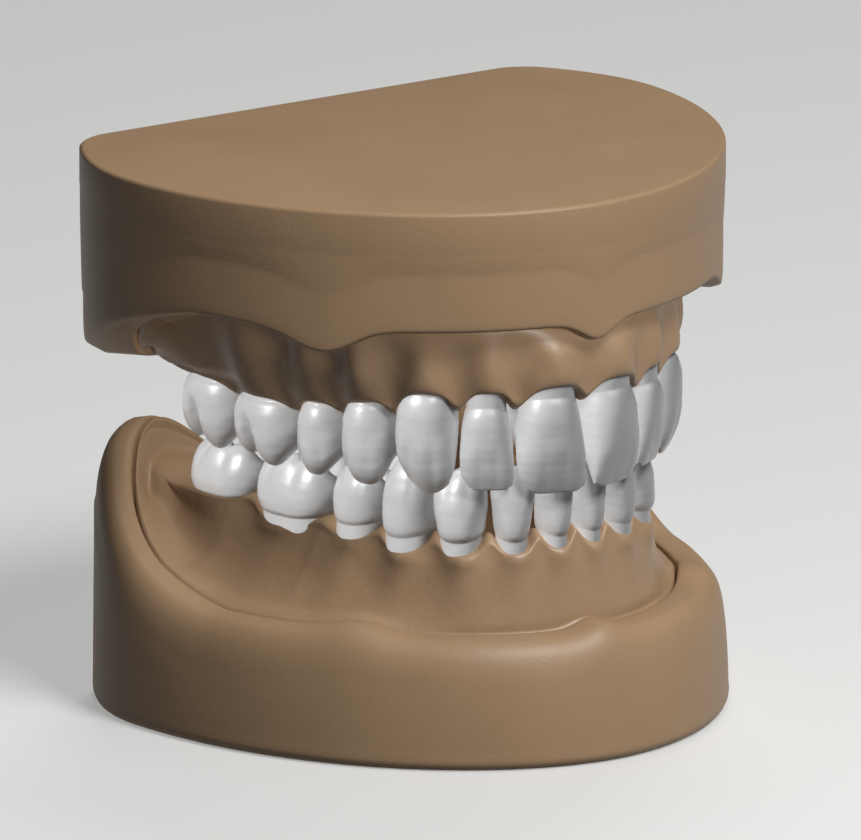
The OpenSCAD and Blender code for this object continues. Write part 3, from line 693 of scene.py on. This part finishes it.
def cusp_height(shape, x, y):
    """Height of the biting surface at x mesial and y facial, all as shares of the crown."""
    table, cusps, grooves = CUSPS[shape]
    h = np.full_like(x, table)
    sharp_x, sharp_y = CUSP_POWERS
    for cx, cy, rise, along, across in cusps:
        h = h + rise * np.exp(-np.abs((x - cx) / along) ** sharp_x - np.abs((y - cy) / across) ** sharp_y)
    for gx, gy, turn, depth, width in grooves:
        a = math.radians(turn)
        off = -(x - gx) * math.sin(a) + (y - gy) * math.cos(a)
        run = (x - gx) * math.cos(a) + (y - gy) * math.sin(a)
        h = h - depth * np.exp(-((off / width) ** 2)) * ease(1.5 - np.abs(run) * 1.6)
    return h


def edge_drop(shape, x):
    """How far the biting edge falls short of the tip, as a share of the crown, across x from distal -1."""
    if shape.endswith("incisor"):
        corner = 0.12 if shape.startswith("upper") else 0.06
        return corner * np.clip((-x - 0.4) / 0.6, 0, 1) ** 2 + 0.04 * np.clip((x - 0.7) / 0.3, 0, 1) ** 2
    peak = 0.3
    distal = 0.27 * np.clip((peak - x) / (1 + peak), 0, 1) ** 1.9
    return distal + 0.12 * np.clip((x - peak) / (1 - peak), 0, 1) ** 1.8


def tooth_rings(jaw, i):
    """One crown with its bare neck, in the tooth's own frame: x mesial, y facial, z to the tip."""
    t = jaw.teeth[i]
    shape = f"{jaw.name}_{family(i)}"
    cusps = f"{jaw.name}_{KINDS[i]}" if shape == "upper_premolar" else shape
    a = np.linspace(0, 2 * math.pi, ROUND_POINTS, endpoint=False)
    cos, sin = np.cos(a), np.sin(a)
    w, d = (t["width"] - TOOTH_GAP) / 2, t["depth"] / 2
    step = STEP[jaw.name][i]
    # the crown's neck line dips towards the gum on the face and rises between the teeth
    line = STUB[jaw.name][i] * (1 + NECK_SCALLOP * cos**2)
    table = np.array(CROWNS[shape])
    rings = []

    def add(x, y, z):
        rings.append(np.column_stack([x, y, np.broadcast_to(z, ROUND_POINTS)]))

    def section(share):
        """The crown's outline at a share of its height, with the grooves of its face cut in."""
        mesial, distal, facial, lingual, square = (smooth_curve(share, table[:, 0], table[:, k])
                                                   for k in range(1, 6))
        x = np.where(cos >= 0, mesial, distal) * w * power(cos, 2 / square)
        y = 0.5 * (facial - lingual) * d + 0.5 * (facial + lingual) * d * power(sin, 2 / square)
        for place, depth, width in FACE_GROOVES[shape]:
            cut = depth * d * GROOVE_SCALE * bell(x / w, place, width) * ramp(share, *GROOVE_ZONE) * sin
            y = y - np.where(sin > 0, cut, 0)
        return x, y

    top_x, top_y = section(1.0)
    if cusps in CUSPS:
        top = t["crown"] * cusp_height(cusps, top_x / w, top_y / d)
    else:
        top = t["crown"] * (1 - edge_drop(shape, top_x / (EDGE_W * w)))
    root_x, root_y = section(0.0)
    slim_x, slim_y = 1 - STEP_SIDE * step / w, 1 - step / d
    for z in np.linspace(-ROOT_BELOW, 0, 5):
        add(root_x * slim_x, root_y * slim_y, z)
    for v in NECK_SHARES:
        add(root_x * slim_x, root_y * slim_y, line * v)
    for v in CROWN_SHARES:
        x, y = section(v)
        swell = ease(v / NECK_ROUNDING) ** NECK_ROUNDING_POWER
        add(x * mix(slim_x, 1, swell), y * mix(slim_y, 1, swell), mix(line, top, v))
    mid_y = (top_y.max() + top_y.min()) / 2
    if cusps in CUSPS:
        for v in TOP_SHARES:
            x, y = top_x * v, mid_y + (top_y - mid_y) * v
            add(x, y, t["crown"] * cusp_height(cusps, x / w, y / d))
    else:
        for b in np.radians(EDGE_ANGLES):
            x = top_x * (1 - EDGE_SHRINK * (1 - math.cos(b)))
            add(x, mid_y + (top_y - mid_y) * math.cos(b), top + EDGE_ROUND * math.sin(b))
    rings = np.array(rings)
    root_lean = jaw.leans[0 if i < 3 else 1]
    z = rings[:, :, 2]
    rings[:, :, 1] += t["lean"] * np.clip(z, 0, None) + root_lean * np.clip(z, None, 0)
    return rings


def make_tooth(jaw, side, i):
    """One tooth's crown, made slightly uneven and set in its place in the arch."""
    t = jaw.teeth[i]
    rings = tooth_rings(jaw, i)
    seed = i + 10 * jaw.upper + 20 * (side == "left")
    out = rings * [1, 1, 0]
    out /= np.linalg.norm(out, axis=2, keepdims=True) + TINY
    bands = np.sin(rings[:, :, 2] * BAND_RATE + BAND_SHIFT * waves(rings, BAND_SIZE, seed))
    dents = waves(rings, DENT_SIZE, seed + 3)
    fade = ease(rings[:, :, 2] / DENT_START)
    rings += out * ((BAND_DEPTH * bands + DENT_DEPTH * dents) * fade)[:, :, None]
    flat = t["seat"] - rings[:, :, 0:1] * t["along"] + rings[:, :, 1:2] * t["facial"]
    place = np.concatenate([flat, rings[:, :, 2:3] + t["neck"]], axis=2)
    place[:, :, 0] *= SIDES[side]
    name = f"{jaw.name}_{side}_{KINDS[i]}"
    piece = ring_mesh(name + "_crown", place, jaw.upper)
    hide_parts(name)
    return piece


# ---------------------------------------------------------------- materials

def new_material(name, base, roughness, coat=0.0, coat_roughness=0.3, metallic=0.0):
    """A plain shader. Where speckle is used too, base and roughness are for viewers without nodes."""
    material = bpy.data.materials.new(name)
    material.use_nodes = True
    shader = material.node_tree.nodes["Principled BSDF"]
    shader.inputs["Base Color"].default_value = (*base, 1)
    shader.inputs["Roughness"].default_value = roughness
    shader.inputs["Metallic"].default_value = metallic
    shader.inputs["Specular IOR Level"].default_value = 0.35
    shader.inputs["Coat Weight"].default_value = coat
    shader.inputs["Coat Roughness"].default_value = coat_roughness
    return material


def speckle(material, low, high, scale, detail, rough, bump, grain_scale):
    """Colour between low and high, uneven roughness and a fine bump, from object-space noise."""
    nodes, links = material.node_tree.nodes, material.node_tree.links
    shader = nodes["Principled BSDF"]
    coords = nodes.new("ShaderNodeTexCoord")
    cloud = nodes.new("ShaderNodeTexNoise")
    cloud.inputs["Scale"].default_value = scale
    cloud.inputs["Detail"].default_value = detail
    cloud.inputs["Roughness"].default_value = 0.6
    links.new(coords.outputs["Object"], cloud.inputs["Vector"])
    colours = nodes.new("ShaderNodeValToRGB")
    colours.color_ramp.elements[0].position = 0.3
    colours.color_ramp.elements[1].position = 0.72
    colours.color_ramp.elements[0].color = (*low, 1)
    colours.color_ramp.elements[1].color = (*high, 1)
    links.new(cloud.outputs["Fac"], colours.inputs["Fac"])
    links.new(colours.outputs["Color"], shader.inputs["Base Color"])
    spread = nodes.new("ShaderNodeMapRange")
    spread.inputs["To Min"].default_value, spread.inputs["To Max"].default_value = rough
    links.new(cloud.outputs["Fac"], spread.inputs["Value"])
    links.new(spread.outputs["Result"], shader.inputs["Roughness"])
    grain = nodes.new("ShaderNodeTexNoise")
    grain.inputs["Scale"].default_value = grain_scale
    grain.inputs["Detail"].default_value = 6
    links.new(coords.outputs["Object"], grain.inputs["Vector"])
    relief = nodes.new("ShaderNodeBump")
    relief.inputs["Strength"].default_value = bump
    relief.inputs["Distance"].default_value = 0.0002
    links.new(grain.outputs["Fac"], relief.inputs["Height"])
    links.new(relief.outputs["Normal"], shader.inputs["Normal"])
    return material


def base_resin():
    material = new_material("base_resin", (0.33, 0.21, 0.12), 0.5)
    return speckle(material, (0.285, 0.183, 0.103), (0.310, 0.201, 0.115), scale=60, detail=4,
                   rough=(0.42, 0.56), bump=0.12, grain_scale=2600)


def gum_resin():
    material = new_material("gum_resin", (0.35, 0.23, 0.14), 0.45)
    return speckle(material, (0.288, 0.184, 0.104), (0.325, 0.212, 0.124), scale=140, detail=4,
                   rough=(0.34, 0.5), bump=0.18, grain_scale=1500)


def tooth_resin():
    material = new_material("tooth_resin", (0.5, 0.5, 0.5), 0.35, coat=0.9, coat_roughness=0.36)
    return speckle(material, (0.47, 0.475, 0.485), (0.53, 0.525, 0.52), scale=220, detail=3,
                   rough=(0.32, 0.42), bump=0.08, grain_scale=1800)


def steel(name, base, rough):
    material = new_material(name, base, rough[0], metallic=1.0)
    dark = tuple(0.86 * c for c in base)
    return speckle(material, dark, base, scale=900, detail=5, rough=rough, bump=0.15, grain_scale=4200)


def nylon():
    material = new_material("bush_nylon", (0.8, 0.78, 0.72), 0.5)
    return speckle(material, (0.74, 0.72, 0.66), (0.82, 0.8, 0.74), scale=300, detail=3,
                   rough=(0.42, 0.55), bump=0.1, grain_scale=3000)


MATERIALS = {
    "base_resin": base_resin(),
    "gum_resin": gum_resin(),
    "tooth_resin": tooth_resin(),
    "bracket_steel": steel("bracket_steel", (0.58, 0.59, 0.60), (0.28, 0.42)),
    "screw_steel": steel("screw_steel", (0.68, 0.68, 0.69), (0.16, 0.28)),
    "bush_nylon": nylon(),
}


def dress(piece, slot):
    piece.data.materials.clear()
    piece.data.materials.append(MATERIALS[slot])


# ---------------------------------------------------------------- assembly

TEETH = []
for jaw in (LOWER, UPPER):
    body = jaw.name + "_jaw"
    shell = make_base(jaw)
    dress(shell, "base_resin")
    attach(shell, body)
    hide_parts(jaw.name + "_base")
    gum = make_gum(jaw)
    dress(gum, "gum_resin")
    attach(gum, body)
    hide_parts(jaw.name + "_gingiva")
    for side in SIDES:
        for i in range(len(KINDS)):
            tooth = make_tooth(jaw, side, i)
            TEETH.append(tooth)
            dress(tooth, "tooth_resin")
            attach(tooth, body)

for node, slot in {"lower_bracket": "bracket_steel", "upper_bracket": "bracket_steel",
                   "lower_bracket_screws": "screw_steel", "upper_bracket_screws": "screw_steel",
                   "hinge_pin": "screw_steel", "hinge_clip": "screw_steel",
                   "hinge_bush": "bush_nylon"}.items():
    dress(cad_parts[node], slot)


# ---------------------------------------------------------------- floor, light and camera

# Metres and degrees. The view is VIEW_SPAN millimetres wide at the aim.
FLOOR_HALF = 3.0
LIGHT_AIM = (0, -0.01, 0.03)
LIGHT_FAR = 1.1
VIEW_AZIMUTH = math.radians(-35.124)
VIEW_ELEVATION = math.radians(14.323)
VIEW_DISTANCE = 10 / 3
VIEW_SPAN = 97.2332
SENSOR = 36.0
AIM_RIGHT = 4.690 * MM
AIM_UP = 29.144 * MM


def make_floor():
    mesh = bpy.data.meshes.new("floor")
    corners = [(x * FLOOR_HALF, y * FLOOR_HALF, 0) for x, y in ((-1, -1), (1, -1), (1, 1), (-1, 1))]
    mesh.from_pydata(corners, [], [(0, 1, 2, 3)])
    floor = bpy.data.objects.new("floor", mesh)
    bpy.context.scene.collection.objects.link(floor)
    mesh.materials.append(new_material("floor_paint", (0.7, 0.7, 0.69), 0.7))
    floor.visible_diffuse = False


def area_light(name, turn, elevation, size, energy, shadow=True):
    """A round soft light, turn degrees to the right of the camera and elevation degrees up."""
    azimuth = VIEW_AZIMUTH + math.radians(turn)
    rise = math.radians(elevation)
    back = Vector((math.sin(azimuth) * math.cos(rise), -math.cos(azimuth) * math.cos(rise), math.sin(rise)))
    data = bpy.data.lights.new(name, "AREA")
    data.shape = "DISK"
    data.size = size
    data.energy = energy
    data.use_shadow = shadow
    light = bpy.data.objects.new(name, data)
    light.location = Vector(LIGHT_AIM) + back * LIGHT_FAR
    light.rotation_euler = back.to_track_quat("Z", "Y").to_euler()
    bpy.context.scene.collection.objects.link(light)
    return light


def make_camera():
    ca, sa = math.cos(VIEW_AZIMUTH), math.sin(VIEW_AZIMUTH)
    ce, se = math.cos(VIEW_ELEVATION), math.sin(VIEW_ELEVATION)
    right = Vector((ca, sa, 0))
    up = Vector((-sa * se, ca * se, ce))
    back = Vector((sa * ce, -ca * ce, se))
    data = bpy.data.cameras.new("camera")
    data.sensor_width = SENSOR
    data.lens = VIEW_DISTANCE / (VIEW_SPAN * MM) * SENSOR
    data.clip_start = 0.1
    data.clip_end = 20
    camera = bpy.data.objects.new("camera", data)
    place = right * AIM_RIGHT + up * AIM_UP + back * VIEW_DISTANCE
    turn = Matrix((right, up, back)).transposed()
    camera.matrix_world = Matrix.Translation(place) @ turn.to_4x4()
    bpy.context.scene.collection.objects.link(camera)
    bpy.context.scene.camera = camera


def make_world():
    world = bpy.data.worlds.new("studio")
    world.use_nodes = True
    background = world.node_tree.nodes["Background"]
    background.inputs["Color"].default_value = (0.95, 0.97, 1.0, 1)
    background.inputs["Strength"].default_value = 0.06
    bpy.context.scene.world = world


def light_only(light, pieces):
    """Keep a light to the given pieces."""
    group = bpy.data.collections.new(light.name + "_receivers")
    for piece in pieces:
        group.objects.link(piece)
    light.light_linking.receiver_collection = group


make_floor()
OTHERS = [o for o in bpy.context.scene.objects if o.type == "MESH" and o not in TEETH]
area_light("key", 38, 50, 0.4, 6.5)
area_light("back", 172, 52, 0.5, 2.8).visible_glossy = False
light_only(area_light("fill", 37, 44, 0.4, 9.0, shadow=False), OTHERS)
light_only(area_light("tooth_light", -56, 35, 0.35, 14.5, shadow=False), TEETH)
make_world()
make_camera()
bpy.context.scene.view_settings.view_transform = "Standard"
